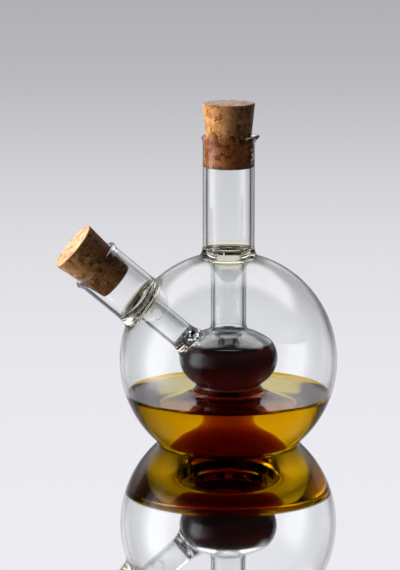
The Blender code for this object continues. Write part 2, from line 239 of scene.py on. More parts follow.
def open_cells(opening, rows, sides, first):
    """Triangles round an opening in a grid, and the block of cells that they replace."""
    loop = opening.places
    left, low = np.floor(loop.min(0)).astype(int) - 2
    right, high = np.ceil(loop.max(0)).astype(int) + 2
    low, high = max(low, 0), min(high, rows - 1)
    column, row = (k.ravel() for k in np.meshgrid(np.arange(left, right + 1), np.arange(low, high + 1)))
    spots = np.stack([column, row], axis=1).astype(float)
    ends = np.roll(loop, -1, 0)

    def inside(places):
        x, y = places[:, None, 0], places[:, None, 1]
        run, rise = (ends - loop).T
        crosses = (loop[:, 1] > y) != (ends[:, 1] > y)
        slope = run / np.where(rise == 0.0, 1.0, rise)
        return np.sum(crosses & (x < loop[:, 0] + (y - loop[:, 1]) * slope), axis=1) % 2 == 1

    nearest = np.linalg.norm(spots[:, None] - loop, axis=2).min(1)
    border = (column == left) | (column == right) | (row == low) | (row == high)
    kept = border | (~inside(spots) & (nearest > OPENING_MARGIN))
    places = np.concatenate([spots[kept], loop])
    known = np.concatenate([(row * sides + column % sides)[kept], first + np.arange(len(loop))])
    start = len(places) - len(loop)
    edges = [(start + k, start + (k + 1) % len(loop)) for k in range(len(loop))]
    made = delaunay_2d_cdt([Vector(p) for p in places], edges, [], 0, SAME_PLACE)
    corners, source = np.array([tuple(v) for v in made[0]]), [ids[0] for ids in made[3]]
    triangles = np.array(made[2])
    triangles = triangles[~inside(corners[triangles].mean(1))]
    faces = [tuple(int(known[source[k]]) for k in triangle) for triangle in triangles]
    return faces, (slice(low, high), slice(left, right))


def fillet(opening, reach, ring, ring_way, steps):
    """Patch that flows from an opening to a ring of as many points."""
    grid = bend(opening.points, opening.ways * reach, ring, ring_way, steps)
    normals = grid_normals(grid)
    if np.sum(normals[0] * opening.normals) < 0.0:
        normals = -normals
    normals[0] = opening.normals
    return grid, normals


def grid_faces(rows, sides):
    """Quads of a grid that closes round."""
    index = np.arange(rows * sides).reshape(rows, sides)
    after = np.roll(index, -1, 1)
    return np.stack([index[:-1], after[:-1], after[1:], index[1:]], axis=-1).reshape(-1, 4).tolist()


def new_mesh(name, points, faces):
    """Mesh of the points and faces, shaded smooth."""
    mesh = bpy.data.meshes.new(name)
    mesh.from_pydata(points.tolist(), [], faces)
    mesh.update()
    mesh.shade_smooth()
    return mesh


def merged(points):
    """The first point in each place, and for every point the number of its place."""
    keys = np.round(points * PLACES_PER_METRE).astype(np.int64)
    _, first, known = np.unique(keys, axis=0, return_index=True, return_inverse=True)
    return first, known.ravel()


def true_corners(face, known):
    """A face's corners once points are merged, without those that repeat."""
    corners = [int(known[k]) for k in face]
    return [c for k, c in enumerate(corners) if c != corners[k - 1]]


def welded_mesh(name, patches):
    """One mesh from patches (points, normals, faces) that share points at their seams.

    The second result says which patch each face came from.
    """
    points = np.concatenate([patch[0] for patch in patches])
    normals = np.concatenate([patch[1] for patch in patches])
    first, known = merged(points)
    summed = np.zeros((len(first), 3))
    np.add.at(summed, known, normals)
    points, normals = points[first], unit(summed)
    faces, owners, shift = [], [], 0
    for number, patch in enumerate(patches):
        for face in patch[2]:
            corners = true_corners([shift + k for k in face], known)
            if len(corners) < 3:
                continue
            a, b, c = points[corners[0]], points[corners[1]], points[corners[2]]
            facing = np.dot(np.cross(b - a, c - a), normals[corners].sum(0))
            faces.append(corners if facing > 0.0 else corners[::-1])
            owners.append(number)
        shift += len(patch[0])
    mesh = new_mesh(name, points, faces)
    mesh.normals_split_custom_set_from_vertices(normals.tolist())
    return mesh, np.array(owners)


def placed(name, data):
    """A new object of the data, in the scene."""
    thing = bpy.data.objects.new(name, data)
    bpy.context.scene.collection.objects.link(thing)
    return thing


def worked_out(holder, name):
    """A plain mesh of what the holder's modifiers make of it. The holder goes."""
    made = holder.evaluated_get(bpy.context.evaluated_depsgraph_get())
    mesh = bpy.data.meshes.new_from_object(made)
    bpy.data.objects.remove(holder)
    mesh.name = name
    return mesh


def add_piece(mesh, *materials):
    """Object of the mesh's name, with the materials given."""
    piece = placed(mesh.name, mesh)
    for slot, material in enumerate(materials):
        if slot < len(mesh.materials):
            mesh.materials[slot] = material
        else:
            mesh.materials.append(material)
    return piece


# Outlines of the two skins. One runs over the outside and through neck and stem
# into the inner vessel, the other lines the globe and the vessel where oil stands.
inner_radius = GLOBE_RADIUS - GLOBE_WALL


def sphere_height(radius, reach):
    """Height of a sphere's upper half round the globe's centre, at a reach from the axis."""
    return GLOBE_CENTRE + math.sqrt(radius ** 2 - reach ** 2)


def dome(radius, floor, heel, steps):
    """Heel and sphere, from the floor up to the ring seal's edge."""
    heel_height = floor + heel
    heel_reach = math.sqrt((radius - heel) ** 2 - (GLOBE_CENTRE - heel_height) ** 2)
    turn = math.degrees(math.atan2(heel_height - GLOBE_CENTRE, heel_reach))
    end = math.degrees(math.acos(SEAL_RADIUS / radius))
    return line(
        arc((heel_reach, heel_height), heel, -90.0, turn, 8),
        arc((0.0, GLOBE_CENTRE), radius, turn, end, steps),
    )


def rim(radius, bore, height):
    """Fire-polished bead on a tube's end, from the outside over to the bore."""
    centre = (bore + BEAD_RADIUS, height - BEAD_RADIUS)
    bead = arc(centre, BEAD_RADIUS, -30.0, 180.0, 16)
    foot, foot_way = (radius, height - BEAD_FOOT), (0.0, 1.4 * BEAD_RADIUS)
    return line(bend(foot, foot_way, bead[0], (0.5 * BEAD_RADIUS, 0.87 * BEAD_RADIUS), 6), bead)


seal_edge = sphere_height(GLOBE_RADIUS, SEAL_RADIUS)
seal_inner = sphere_height(inner_radius, SEAL_RADIUS)
seal_end = seal_edge + SEAL_RISE
upwards = (0.0, SEAL_RISE)
shelf = seal_end - SHELF_DEPTH
stem_mouth = (STEM_BORE, shelf - STEM_MOUTH_DROP)
close_rows = NECK_RIM - CLOSE_ROWS
vessel_height = VESSEL_COLLAR - VESSEL_FOOT
vessel_stations = [(STEM_RADIUS, VESSEL_COLLAR)] + [
    (BULB_RADIUS * r, VESSEL_FOOT + vessel_height * h) for r, h in VESSEL_SHARES
]
vessel_skin = flowing_line(vessel_stations + [FOOT_EDGE], 7)
vessel_lining = moved_line(vessel_skin, -VESSEL_WALL)
lining_turn, lining_way = vessel_lining[-3], (vessel_lining[-3] - vessel_lining[-4]) * 5.0
lining_end = (LINING_REACH, VESSEL_FOOT + VESSEL_WALL)

base_outline = dome(GLOBE_RADIUS, 0.0, HEEL_RADIUS, 76)
inner_dome = dome(inner_radius, GLOBE_FLOOR, HEEL_RADIUS - GLOBE_WALL, 74)
foot_fillet = bend(FLOOR_EDGE, FLOOR_WAY, FOOT_EDGE, FOOT_WAY, 10)
punt = [(base_outline[0][0] * k, PUNT_RISE * (1.0 - k ** 2) ** 2) for k in np.linspace(0.0, 1.0, 12)]
air_outline = line(
    punt,
    base_outline,
    bend((SEAL_RADIUS, seal_edge), (-SEAL_RISE, SEAL_RISE / 3.0), (NECK_RADIUS, seal_end), upwards, 12),
    upright(NECK_RADIUS, seal_end, close_rows, 10),
    upright(NECK_RADIUS, close_rows, NECK_RIM - BEAD_FOOT, 3),
    rim(NECK_RADIUS, NECK_BORE, NECK_RIM),
    upright(NECK_BORE, NECK_RIM - BEAD_RADIUS, close_rows, 5),
    upright(NECK_BORE, close_rows, seal_end, 10),
    bend((NECK_BORE, seal_end), NECK_WAY, (SHELF_LIP, shelf), SHELF_WAY, 10),
    bend((SHELF_LIP, shelf), SHELF_WAY, stem_mouth, STEM_WAY, 8),
    upright(STEM_BORE, stem_mouth[1], VESSEL_COLLAR, 12),
    vessel_lining[1:-2],
    bend(lining_turn, lining_way, lining_end, LINING_WAY, 8),
    straight(lining_end, (0.0, lining_end[1]), 6),
)
cavity_outline = line(
    foot_fillet,
    vessel_skin[::-1],
    upright(STEM_RADIUS, VESSEL_COLLAR, STEM_TOP, 12),
    bend((STEM_RADIUS, STEM_TOP), upwards, (SEAL_RADIUS, seal_inner), (SEAL_RISE, -SEAL_RISE / 3.0), 12),
    inner_dome[::-1],
    straight(inner_dome[0], FLOOR_EDGE, 7),
)

# Both liquids wet the glass and climb it. The glass has a row of points where each ends.
OIL_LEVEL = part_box("oil")[1].z - 0.0016
VINEGAR_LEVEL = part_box("vinegar")[1].z - 0.0029
OIL_CAPILLARY = 0.0018
VINEGAR_CAPILLARY = 0.0018
OIL_CONTACT = math.radians(10.0)
OIL_FOOT_CONTACT = math.radians(75.0)
VINEGAR_CONTACT = math.radians(32.0)
CLIMB_START = math.radians(0.6)
CLIMB_STEPS = 26


def passing(over, allowed=True):
    """The first allowed row over zero, and how far along the leg up to it zero is passed."""
    row = np.flatnonzero((over > 0.0) & allowed)[0]
    return row, -over[row - 1] / (over[row] - over[row - 1])


def partway(values, row, share):
    """The value at a share of the leg up to the row."""
    return values[row - 1] + share * (values[row] - values[row - 1])


def climb(wall, level, side, capillary, contact):
    """Free surface of a liquid that wets a rising wall, from far off up to the contact.

    The liquid is on the inside of the wall for side 1 and on its outside for -1.
    """
    wall = np.array(wall)
    radius, height = wall.T
    lean = np.arctan2(np.gradient(radius), np.gradient(height))
    turn = np.pi / 2.0 - side * lean - contact
    over = height - level - 2.0 * capillary * np.sin(turn / 2.0)
    row, share = passing(over, height > level)
    end = partway(wall, row, share)
    turn = np.geomspace(CLIMB_START, partway(turn, row, share), CLIMB_STEPS)
    away = capillary * (np.log(np.tan(turn / 4.0)) + 2.0 * np.cos(turn / 2.0))
    rise = 2.0 * capillary * (np.sin(turn / 2.0) - math.sin(CLIMB_START / 2.0))
    return np.stack([end[0] - side * (away[-1] - away), level + rise], axis=1)


def with_point(outline, point):
    """The outline with the point put into the leg that passes closest to it."""
    ways = np.diff(outline, axis=0)
    share = np.sum((point - outline[:-1]) * ways, axis=1) / np.sum(ways ** 2, axis=1)
    nearest = outline[:-1] + np.clip(share, 0.0, 1.0)[:, None] * ways
    leg = int(np.argmin(np.linalg.norm(nearest - point, axis=1)))
    return np.insert(outline, leg + 1, point, axis=0)


oil_edge = climb(inner_dome[20:], OIL_LEVEL, 1, OIL_CAPILLARY, OIL_CONTACT)
oil_collar = climb(vessel_skin[::-1][30:], OIL_LEVEL, -1, OIL_CAPILLARY, OIL_FOOT_CONTACT)
vinegar_edge = climb(vessel_lining[::-1][20:-2], VINEGAR_LEVEL, 1, VINEGAR_CAPILLARY, VINEGAR_CONTACT)
cavity_outline = with_point(with_point(cavity_outline, oil_edge[-1]), oil_collar[-1])
air_outline = with_point(air_outline, vinegar_edge[-1])
air_skin = Skin(air_outline, ROUND_SIDES)
cavity_skin = Skin(cavity_outline, ROUND_SIDES)

# The pouring lip is pressed out of the soft rim on the side away from the spout.
angles = np.arctan2(air_skin.points[..., 1], air_skin.points[..., 0])
lift = np.clip((air_skin.points[..., 2] - NECK_RIM + LIP_DEPTH) / LIP_DEPTH, 0.0, 1.0)
swing = np.clip(np.abs(angles) / LIP_HALF_WIDTH, 0.0, 1.0)
air_skin.points[..., 0] += LIP_REACH * lift ** 2 * np.cos(swing * np.pi / 2.0) ** 2

# Spout and side tube: drawn tubing on a slanted axis through the globe.
SPOUT_LEAN = math.radians(40.5)
SPOUT_CROSSING = 0.03352
SPOUT_RADIUS = 0.0127
SPOUT_BORE = 0.0112
SPOUT_RIM = 0.08545
SPOUT_SEAL_END = 0.0599
SPOUT_BORE_END = SPOUT_SEAL_END - 0.0006
SIDE_SHELF = 0.0562
SIDE_LIP = 0.0088
SIDE_WAY = (-0.0024, -0.0004)
SPOUT_WAY, ROOT_WAY = (0.0, -0.0030), (0.0, -0.0050)
TURN_WAY, FINGER_END_WAY = (0.0, -0.0034), (-0.0022, -0.0002)
NIB_MOUTH_WAY, NIB_WAY = (-0.0012, -0.0001), (0.0, -0.0012)
FINGER_RADIUS = 0.0065
FINGER_BORE = 0.0053
FINGER_ROOT = 0.0513
FINGER_FOOT = 0.0305
FINGER_END = 0.0275
FINGER_TURN = FINGER_END + 0.0030
FINGER_FLARE = 0.0090
LINING_FLARE = 0.0072
NIB_RADIUS = 0.0030
NIB_WALL = 0.0011
NIB_BORE = 0.0019
NIB_BORE_TOP = FINGER_END - 0.0012
NIB_ROOT = 0.0215
NIB_TIP = 0.0175
PORT_RADIUS = 0.0025
PORT_MOUTH = 0.0034
PORT_PLACE = 0.0445
PORT_ROWS = 0.0380
SLIM_SIDES = 96
PORT_SIDES = 48

# How far the melted roots run along the walls and along the tubes, and between
# which places the tubes' lines meet globe, shoulder and lining, and the port's the tube.
SEAL_SPREAD, INNER_SEAL_SPREAD, SHOULDER_SPREAD, NIB_SPREAD = 0.0050, 0.0075, 0.0045, 0.0050
TUBE_RUN, NIB_RUN = 0.0060, 0.0040
GLOBE_SPAN, SHOULDER_SPAN, LINING_SPAN = (0.030, 0.075), (0.012, 0.036), (0.012, 0.034)
PORT_SPAN = (0.0, 0.02)

spout_up = np.array([-math.cos(SPOUT_LEAN), 0.0, math.sin(SPOUT_LEAN)])
spout_side = np.array([math.sin(SPOUT_LEAN), 0.0, math.cos(SPOUT_LEAN)])
to_world = np.array([spout_side, [0.0, 1.0, 0.0], spout_up])
crossing = np.array([0.0, 0.0, SPOUT_CROSSING])
slim_angles = np.arange(SLIM_SIDES) * (2.0 * np.pi / SLIM_SIDES)


def in_place(points):
    """From the spout's own axes to the globe's."""
    return points @ to_world + crossing


def sleeve(radius):
    """Starts of the lines beside the spout's axis, one for each side of its tubes."""
    local = [radius * np.cos(slim_angles), radius * np.sin(slim_angles), 0.0 * slim_angles]
    return in_place(np.stack(local, axis=1))


nib_bore_end = NIB_TIP + NIB_WALL + NIB_BORE
spout_outline = line(
    upright(SPOUT_RADIUS, SPOUT_SEAL_END, SPOUT_RIM - BEAD_FOOT, 8),
    rim(SPOUT_RADIUS, SPOUT_BORE, SPOUT_RIM),
    upright(SPOUT_BORE, SPOUT_RIM - BEAD_RADIUS, SPOUT_BORE_END, 9),
    bend((SPOUT_BORE, SPOUT_BORE_END), SPOUT_WAY, (SIDE_LIP, SIDE_SHELF), SIDE_WAY, 9),
    bend((SIDE_LIP, SIDE_SHELF), SIDE_WAY, (FINGER_BORE, FINGER_ROOT), ROOT_WAY, 12),
    upright(FINGER_BORE, FINGER_ROOT, PORT_ROWS, 10),
    upright(FINGER_BORE, PORT_ROWS, FINGER_TURN, 5),
    bend((FINGER_BORE, FINGER_TURN), TURN_WAY, (NIB_RADIUS, FINGER_END), FINGER_END_WAY, 10),
    bend((NIB_RADIUS, FINGER_END), NIB_MOUTH_WAY, (NIB_BORE, NIB_BORE_TOP), NIB_WAY, 5),
    upright(NIB_BORE, NIB_BORE_TOP, nib_bore_end, 4),
    arc((0.0, nib_bore_end), NIB_BORE, 0.0, -90.0, 7),
)
spout_skin = Skin(spout_outline, SLIM_SIDES)
finger_skin = Skin(line(
    upright(FINGER_RADIUS, FINGER_FOOT, PORT_ROWS, 5),
    upright(FINGER_RADIUS, PORT_ROWS, FINGER_ROOT, 10),
), SLIM_SIDES)
nib_skin = Skin(line(
    arc((0.0, NIB_TIP + NIB_RADIUS), NIB_RADIUS, -90.0, 0.0, 7),
    upright(NIB_RADIUS, NIB_TIP + NIB_RADIUS, NIB_ROOT, 2),
), SLIM_SIDES)

# Port for the oil, burned through the side tube on its far side and fire-polished.
# Its edge swells inwards by a quarter of the reach with which the patch leaves.
port_angles = np.arange(PORT_SIDES) * (2.0 * np.pi / PORT_SIDES)
port_sleeve = np.stack([
    PORT_MOUTH * np.cos(port_angles), 0.0 * port_angles, PORT_PLACE + PORT_MOUTH * np.sin(port_angles),
], axis=1)
bore_rows = np.flatnonzero(
    (np.abs(spout_outline[:, 0] - FINGER_BORE) < SAME_PLACE) & (spout_outline[:, 1] > FINGER_END))
far_side = np.array([0.0, 1.0, 0.0])
port_inside = spout_skin.meet(port_sleeve, far_side, *PORT_SPAN, bore_rows)
port_outside = finger_skin.meet(port_sleeve, far_side, *PORT_SPAN, np.arange(len(finger_skin.outline)))
port_reach = 4.0 * (PORT_MOUTH - PORT_RADIUS)
spout_skin.openings.append(port_inside)
finger_skin.openings.append(port_outside)
port_grid, port_normals = fillet(
    port_outside, port_reach, port_inside.points, -port_inside.ways * port_reach, 12)
port_normals[-1] = port_inside.normals


def rows_between(skin, start, end):
    """Rows of a skin from the first to the last point given, both included."""
    first = int(np.argmin(np.linalg.norm(skin.outline - np.array(start), axis=1)))
    last = int(np.argmin(np.linalg.norm(skin.outline - np.array(end), axis=1)))
    return np.arange(min(first, last), max(first, last) + 1)


# Where the slanted tubes run into the globe's two faces and the vessel's two faces.
outer_seal = air_skin.meet(
    sleeve(SEAL_RADIUS), spout_up, *GLOBE_SPAN,
    rows_between(air_skin, base_outline[8], (SEAL_RADIUS, seal_edge)))
inner_seal = cavity_skin.meet(
    sleeve(SEAL_RADIUS), spout_up, *GLOBE_SPAN,
    rows_between(cavity_skin, (SEAL_RADIUS, seal_inner), (inner_radius, GLOBE_CENTRE - 0.02)))
shoulder_outside = cavity_skin.meet(
    sleeve(FINGER_FLARE), spout_up, *SHOULDER_SPAN,
    rows_between(cavity_skin, vessel_stations[5], (STEM_RADIUS, STEM_TOP)))
shoulder_inside = air_skin.meet(
    sleeve(LINING_FLARE), spout_up, *LINING_SPAN,
    rows_between(air_skin, stem_mouth, vessel_lining[35]))
air_skin.openings = [outer_seal, shoulder_inside]
cavity_skin.openings = [inner_seal, shoulder_outside]

slanted_skins = (spout_skin, finger_skin, nib_skin)
spout_points, finger_points, nib_points = (in_place(skin.points) for skin in slanted_skins)
slanted = []
for skin in slanted_skins:
    local_points, local_normals, local_faces = skin.patch()
    slanted.append((in_place(local_points), local_normals @ to_world, local_faces))
fillets = [
    fillet(outer_seal, SEAL_SPREAD, spout_points[0], spout_up * TUBE_RUN, 12),
    fillet(inner_seal, INNER_SEAL_SPREAD, finger_points[-1], -spout_up * TUBE_RUN, 14),
    fillet(shoulder_outside, SHOULDER_SPREAD, finger_points[0], spout_up * TUBE_RUN, 12),
    fillet(shoulder_inside, NIB_SPREAD, nib_points[-1], -spout_up * NIB_RUN, 12),
    (in_place(port_grid), port_normals @ to_world),
]
patches = [air_skin.patch(), cavity_skin.patch()] + slanted + [
    (grid.reshape(-1, 3), normals.reshape(-1, 3), grid_faces(*grid.shape[:2]))
    for grid, normals in fillets
]
AIR_PATCH, CAVITY_PATCH, NIB_PATCH, NIB_ROOT_PATCH = 0, 1, 4, 8
glass_mesh, face_owner = welded_mesh("blown_glass", patches)

# Faces under a liquid: the globe's inside, both sides of the inner vessel, and the nib.
face_middle = np.zeros(len(glass_mesh.polygons) * 3)
glass_mesh.polygons.foreach_get("center", face_middle)
face_middle = face_middle.reshape(-1, 3)
face_reach, face_height = np.hypot(face_middle[:, 0], face_middle[:, 1]), face_middle[:, 2]
on_vessel = face_reach < BULB_RADIUS + VESSEL_WALL
oil_line = np.where(on_vessel, oil_collar[-1][1], oil_edge[-1][1])
in_vessel = on_vessel & (face_height > VESSEL_FOOT)
wet = (face_owner == CAVITY_PATCH) & (face_height < oil_line)
wet |= (face_owner == AIR_PATCH) & in_vessel & (face_height < vinegar_edge[-1][1])
wet |= np.isin(face_owner, (NIB_PATCH, NIB_ROOT_PATCH)) & (face_height < VINEGAR_LEVEL)
glass_mesh.polygons.foreach_set("material_index", wet.astype(int).tolist())


NO_TINT = (1.0, 1.0, 1.0, 1.0)


class Paint:
    """A shader or geometry socket on which sums are written; make() adds any other node."""

    def __init__(self, tree, socket=None):
        self.tree, self.socket = tree, socket

    def make(self, kind, settings=None, inputs=None, output=0):
        node = self.tree.nodes.new(kind)
        for name, value in (settings or {}).items():
            if name == "stops":
                while len(node.color_ramp.elements) < len(value):
                    node.color_ramp.elements.new(1.0)
                for element, (place, colour) in zip(node.color_ramp.elements, value):
                    element.position, element.color = place, colour
            else:
                setattr(node, name, value)
        for name, value in (inputs or {}).items():
            if isinstance(value, Paint):
                self.tree.links.new(value.socket, node.inputs[name])
            else:
                node.inputs[name].default_value = value
        return Paint(self.tree, node.outputs[output])

    def sum(self, operation, *others):
        return self.make("ShaderNodeMath", {"operation": operation}, dict(enumerate((self,) + others)))

    def __add__(self, other):
        return self.sum("ADD", other)

    def __sub__(self, other):
        return self.sum("SUBTRACT", other)

    def __mul__(self, other):
        return self.sum("MULTIPLY", other)

    def __truediv__(self, other):
        return self.sum("DIVIDE", other)

    def __rsub__(self, other):
        return self.make("ShaderNodeMath", {"operation": "SUBTRACT"}, {0: other, 1: self})

    def __rtruediv__(self, other):
        return self.make("ShaderNodeMath", {"operation": "DIVIDE"}, {0: other, 1: self})

    def __lt__(self, other):
        return self.sum("LESS_THAN", other)

    def __gt__(self, other):
        return self.sum("GREATER_THAN", other)

    __radd__, __rmul__ = __add__, __mul__

    def between(self, low, high, out_low=0.0, out_high=1.0, smooth=True):
        """The value carried from one range to another and held at its ends."""
        settings = {"interpolation_type": "SMOOTHSTEP" if smooth else "LINEAR", "clamp": True}
        return self.make("ShaderNodeMapRange", settings, {
            "Value": self, "From Min": low, "From Max": high, "To Min": out_low, "To Max": out_high})

    def vector(self, operation, *others, output=0):
        given = dict(enumerate((self,) + others))
        return self.make("ShaderNodeVectorMath", {"operation": operation}, given, output)

    def scaled(self, factor):
        return self.make("ShaderNodeVectorMath", {"operation": "SCALE"}, {0: self, "Scale": factor})

    def axis(self, number):
        """One of the three numbers of a place or a way."""
        return self.make("ShaderNodeSeparateXYZ", inputs={0: self}, output=number)

    def noise(self, scale, detail, output=0):
        """Soft noise at this place, as a grey level or, for output 1, as a colour."""
        given = {"Vector": self, "Scale": scale, "Detail": detail}
        return self.make("ShaderNodeTexNoise", inputs=given, output=output)

    def blend(self, first, second, mode="MIX"):
        """Colour carried from the first to the second, or multiplied by it, by this value."""
        settings = {"data_type": "RGBA", "blend_type": mode}
        return self.make("ShaderNodeMix", settings, {0: self, 6: first, 7: second}, 2)


def new_material(name, **constants):
    """A material whose shader has the constants given, and a Paint to feed it from."""
    material = bpy.data.materials.new(name)
    material.use_nodes = True
    shader = material.node_tree.nodes["Principled BSDF"]
    for key, value in constants.items():
        shader.inputs[key.replace("_", " ")].default_value = value
    return material, shader, Paint(material.node_tree)


def clear_material(name, index):
    """A perfectly clear, smooth material with the index given."""
    return new_material(name, Base_Color=NO_TINT, Transmission_Weight=1.0, IOR=index, Roughness=0.0)


def feed(shader, **values):
    """Values linked to the shader's sockets."""
    for key, value in values.items():
        value.tree.links.new(value.socket, shader.inputs[key.replace("_", " ")])


GLASS_INDEX = 1.47
GLASS_CLEAR = (0.985, 0.995, 0.99, 1.0)
GLASS_OLIVE = (0.93, 0.91, 0.74, 1.0)
# This edge colour and the two dark ranges further down are painted shade for walls seen edge on.
GLASS_EDGE_SHADE = (0.05, 0.05, 0.055, 1.0)
SEAL_DEPTH = 0.0015
SEAL_TINT = (0.003, 0.006)
STEM_ZONE, SPOUT_ZONE, SPOUT_HALF = (0.016, 0.022), (0.0145, 0.0185), (-0.030, -0.020)
EDGE_SHADE_WALL, EDGE_SHADE_TUBE = (0.22, 0.70), (0.07, 0.30)
SIDE_SEAL_ROUGHNESS = 0.16
WAVE_SCALE, WAVE_DEPTH = 55.0, 0.002
glass, glass_shader, paint = clear_material("clear_blown_glass", GLASS_INDEX)
place = paint.make("ShaderNodeTexCoord", output=3)

# The melted seals are a faint olive, the side one is less clear, and all walls wave a little.
from_top_seal = place.axis(2) - (shelf - SEAL_DEPTH)
from_side_seal = place.vector("DOT_PRODUCT", tuple(spout_up), output=1) - (
    SIDE_SHELF - SEAL_DEPTH + SPOUT_CROSSING * spout_up[2])
level_place = place.vector("MULTIPLY", (1.0, 1.0, 0.0))
in_stem = level_place.vector("LENGTH", output=1).between(*STEM_ZONE, 1.0, 0.0)
off_spout = place.vector("SUBTRACT", (0.0, 0.0, SPOUT_CROSSING))
off_spout = off_spout.vector("CROSS_PRODUCT", tuple(spout_up))
in_spout = off_spout.vector("LENGTH", output=1).between(*SPOUT_ZONE, 1.0, 0.0)
in_spout = in_spout * place.axis(0).between(*SPOUT_HALF, 1.0, 0.0)
near_top = from_top_seal.sum("ABSOLUTE").between(*SEAL_TINT, 1.0, 0.0) * in_stem
near_side = from_side_seal.sum("ABSOLUTE").between(*SEAL_TINT, 1.0, 0.0) * in_spout
near_seal = near_top.sum("MAXIMUM", near_side)
waves = place.noise(WAVE_SCALE, 1.0)
bumped = paint.make("ShaderNodeBump", inputs={"Strength": 0.05, "Distance": WAVE_DEPTH, "Height": waves})

# Painted shade: where a wall turns edge on to the eye its colour goes dark, and more so in neck and stem.
glancing = paint.make("ShaderNodeFresnel", inputs={"IOR": GLASS_INDEX, "Normal": bumped})
painted_edge_shade = glancing.between(*EDGE_SHADE_WALL, smooth=False)
painted_edge_shade = painted_edge_shade.sum("MAXIMUM", glancing.between(*EDGE_SHADE_TUBE, smooth=False) * in_stem)
glass_tint_and_shade = painted_edge_shade.blend(near_seal.blend(GLASS_CLEAR, GLASS_OLIVE), GLASS_EDGE_SHADE)
feed(glass_shader, Base_Color=glass_tint_and_shade, Roughness=near_side * SIDE_SEAL_ROUGHNESS, Normal=bumped)

# A liquid's index is so close to the glass's that the face between them hardly shows.
wet_glass, _, _ = clear_material("glass_under_liquid", 1.0)
blown_glass = add_piece(glass_mesh, glass, wet_glass)
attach(blown_glass, "glass_body")
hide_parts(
    "outer_globe", "top_neck", "top_seal_ring", "inner_stem", "inner_bulb",
    "side_spout", "side_seal_ring", "inner_side_tube")


# Oil and vinegar

# Golden oil stands round the inner vessel, and dark red vinegar fills the vessel
# to just under its shoulder. Both wet the glass and climb it a little.

WETTING = 0.0004
CUTTER_RIM, CUTTER_END = 0.004, 0.032
SHARP_EDGE = math.radians(40.0)
OIL_GOLD, OIL_DENSITY, OIL_INDEX = (0.952, 0.858, 0.0, 1.0), 90.0, 1.47
VINEGAR_RED, VINEGAR_DENSITY, VINEGAR_INDEX = (0.78, 0.50, 0.0, 1.0), 400.0, 1.35


def filled_to(wall, level):
    """The part of a rising wall line below the level, ending exactly on it."""
    row, share = passing(wall[:, 1] - level)
    return np.concatenate([wall[:row], [partway(wall, row, share)]])


def spun_mesh(name, wet, free, closed):
    """Closed liquid body spun round the upright axis: its wet side, then its free surface.

    The wet side's faces get the second material slot.
    """
    outline = np.concatenate([wet, free])
    skin = Skin(np.concatenate([outline, outline[:1]]) if closed else outline, ROUND_SIDES)
    radius, height = skin.outline.T
    turn = np.sum(radius[:-1] * height[1:] - radius[1:] * height[:-1])
    points, normals, faces = skin.patch()
    faces = [face if turn > 0.0 else face[::-1] for face in faces]
    first, known = merged(points)
    kept, slots = [], []
    for index, face in enumerate(faces):
        corners = true_corners(face, known)
        if len(corners) > 2:
            kept.append(corners)
            slots.append(0 if len(wet) <= index // ROUND_SIDES < len(outline) - 1 else 1)
    mesh = new_mesh(name, points[first], kept)
    mesh.polygons.foreach_set("material_index", slots)
    mesh.set_sharp_from_angle(angle=SHARP_EDGE)
    return mesh


globe_wall = moved_line(inner_dome, -WETTING)
foot_wall = moved_line(line(foot_fillet, vessel_skin[::-1]), WETTING)
oil_mesh = spun_mesh(
    "oil_fill",
    line(filled_to(foot_wall, oil_collar[-1][1])[::-1], filled_to(globe_wall, oil_edge[-1][1])),
    line(oil_edge[::-1], straight(oil_edge[0], oil_collar[0], 12), oil_collar), True)


def liquid(name, colour, density, index):
    """A clear liquid's free surface, and its side against the glass, which bends no light."""
    pair = []
    for part, part_index in (("", index), ("_side", 1.0)):
        material, _, paint = clear_material(name + part, part_index)
        absorbing = paint.make("ShaderNodeVolumeAbsorption", inputs={"Color": colour, "Density": density})
        paint.tree.links.new(absorbing.socket, paint.tree.nodes["Material Output"].inputs["Volume"])
        pair.append(material)
    return pair


oil_fill = add_piece(oil_mesh, *liquid("golden_oil", OIL_GOLD, OIL_DENSITY, OIL_INDEX))
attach(oil_fill, "glass_body")
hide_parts("oil")

vessel_wall = moved_line(vessel_skin, WETTING - VESSEL_WALL)[::-1]
vessel_base = lining_end[1] - WETTING
base_edge, wall_way = (LINING_REACH, vessel_base), (vessel_wall[3] - vessel_wall[2]) * 5.0
vinegar_wall = filled_to(line(
    straight((0.0, vessel_base), base_edge, 6),
    bend(base_edge, (-LINING_WAY[0], 0.0), vessel_wall[2], wall_way, 8),
    vessel_wall[3:]), vinegar_edge[-1][1])
vinegar_body = spun_mesh(
    "vinegar_body", vinegar_wall,
    line(vinegar_edge[::-1], straight(vinegar_edge[0], (0.0, vinegar_edge[0][1]), 6)), False)

# The nib dips into the vinegar, which stops at its glass.
nib_root, nib_root_normals = fillets[NIB_ROOT_PATCH - len(slanted) - 2]
nib_cutter = np.concatenate([
    nib_points - grid_normals(nib_points) * WETTING,
    nib_root[::-1][1:] - nib_root_normals[::-1][1:] * WETTING,
    (shoulder_inside.points + spout_up * CUTTER_RIM)[None],
    np.repeat(in_place(np.array([[0.0, 0.0, CUTTER_END]])), SLIM_SIDES, 0)[None],
])
cutter_mesh, _ = welded_mesh("nib_cutter", [(
    nib_cutter.reshape(-1, 3), grid_normals(nib_cutter).reshape(-1, 3), grid_faces(*nib_cutter.shape[:2]))])
cutter_mesh.polygons.foreach_set("material_index", [1] * len(cutter_mesh.polygons))
cutter = placed("nib_cutter", cutter_mesh)
uncut = placed("uncut_vinegar", vinegar_body)
cut = uncut.modifiers.new("nib", "BOOLEAN")
cut.operation, cut.solver, cut.object = "DIFFERENCE", "EXACT", cutter
vinegar_mesh = worked_out(uncut, "vinegar_fill")
bpy.data.objects.remove(cutter)
vinegar_mesh.shade_smooth()
vinegar_mesh.set_sharp_from_angle(angle=SHARP_EDGE)
vinegar_fill = add_piece(
    vinegar_mesh, *liquid("red_wine_vinegar", VINEGAR_RED, VINEGAR_DENSITY, VINEGAR_INDEX))
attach(vinegar_fill, "glass_body")
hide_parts("vinegar")


# Corks

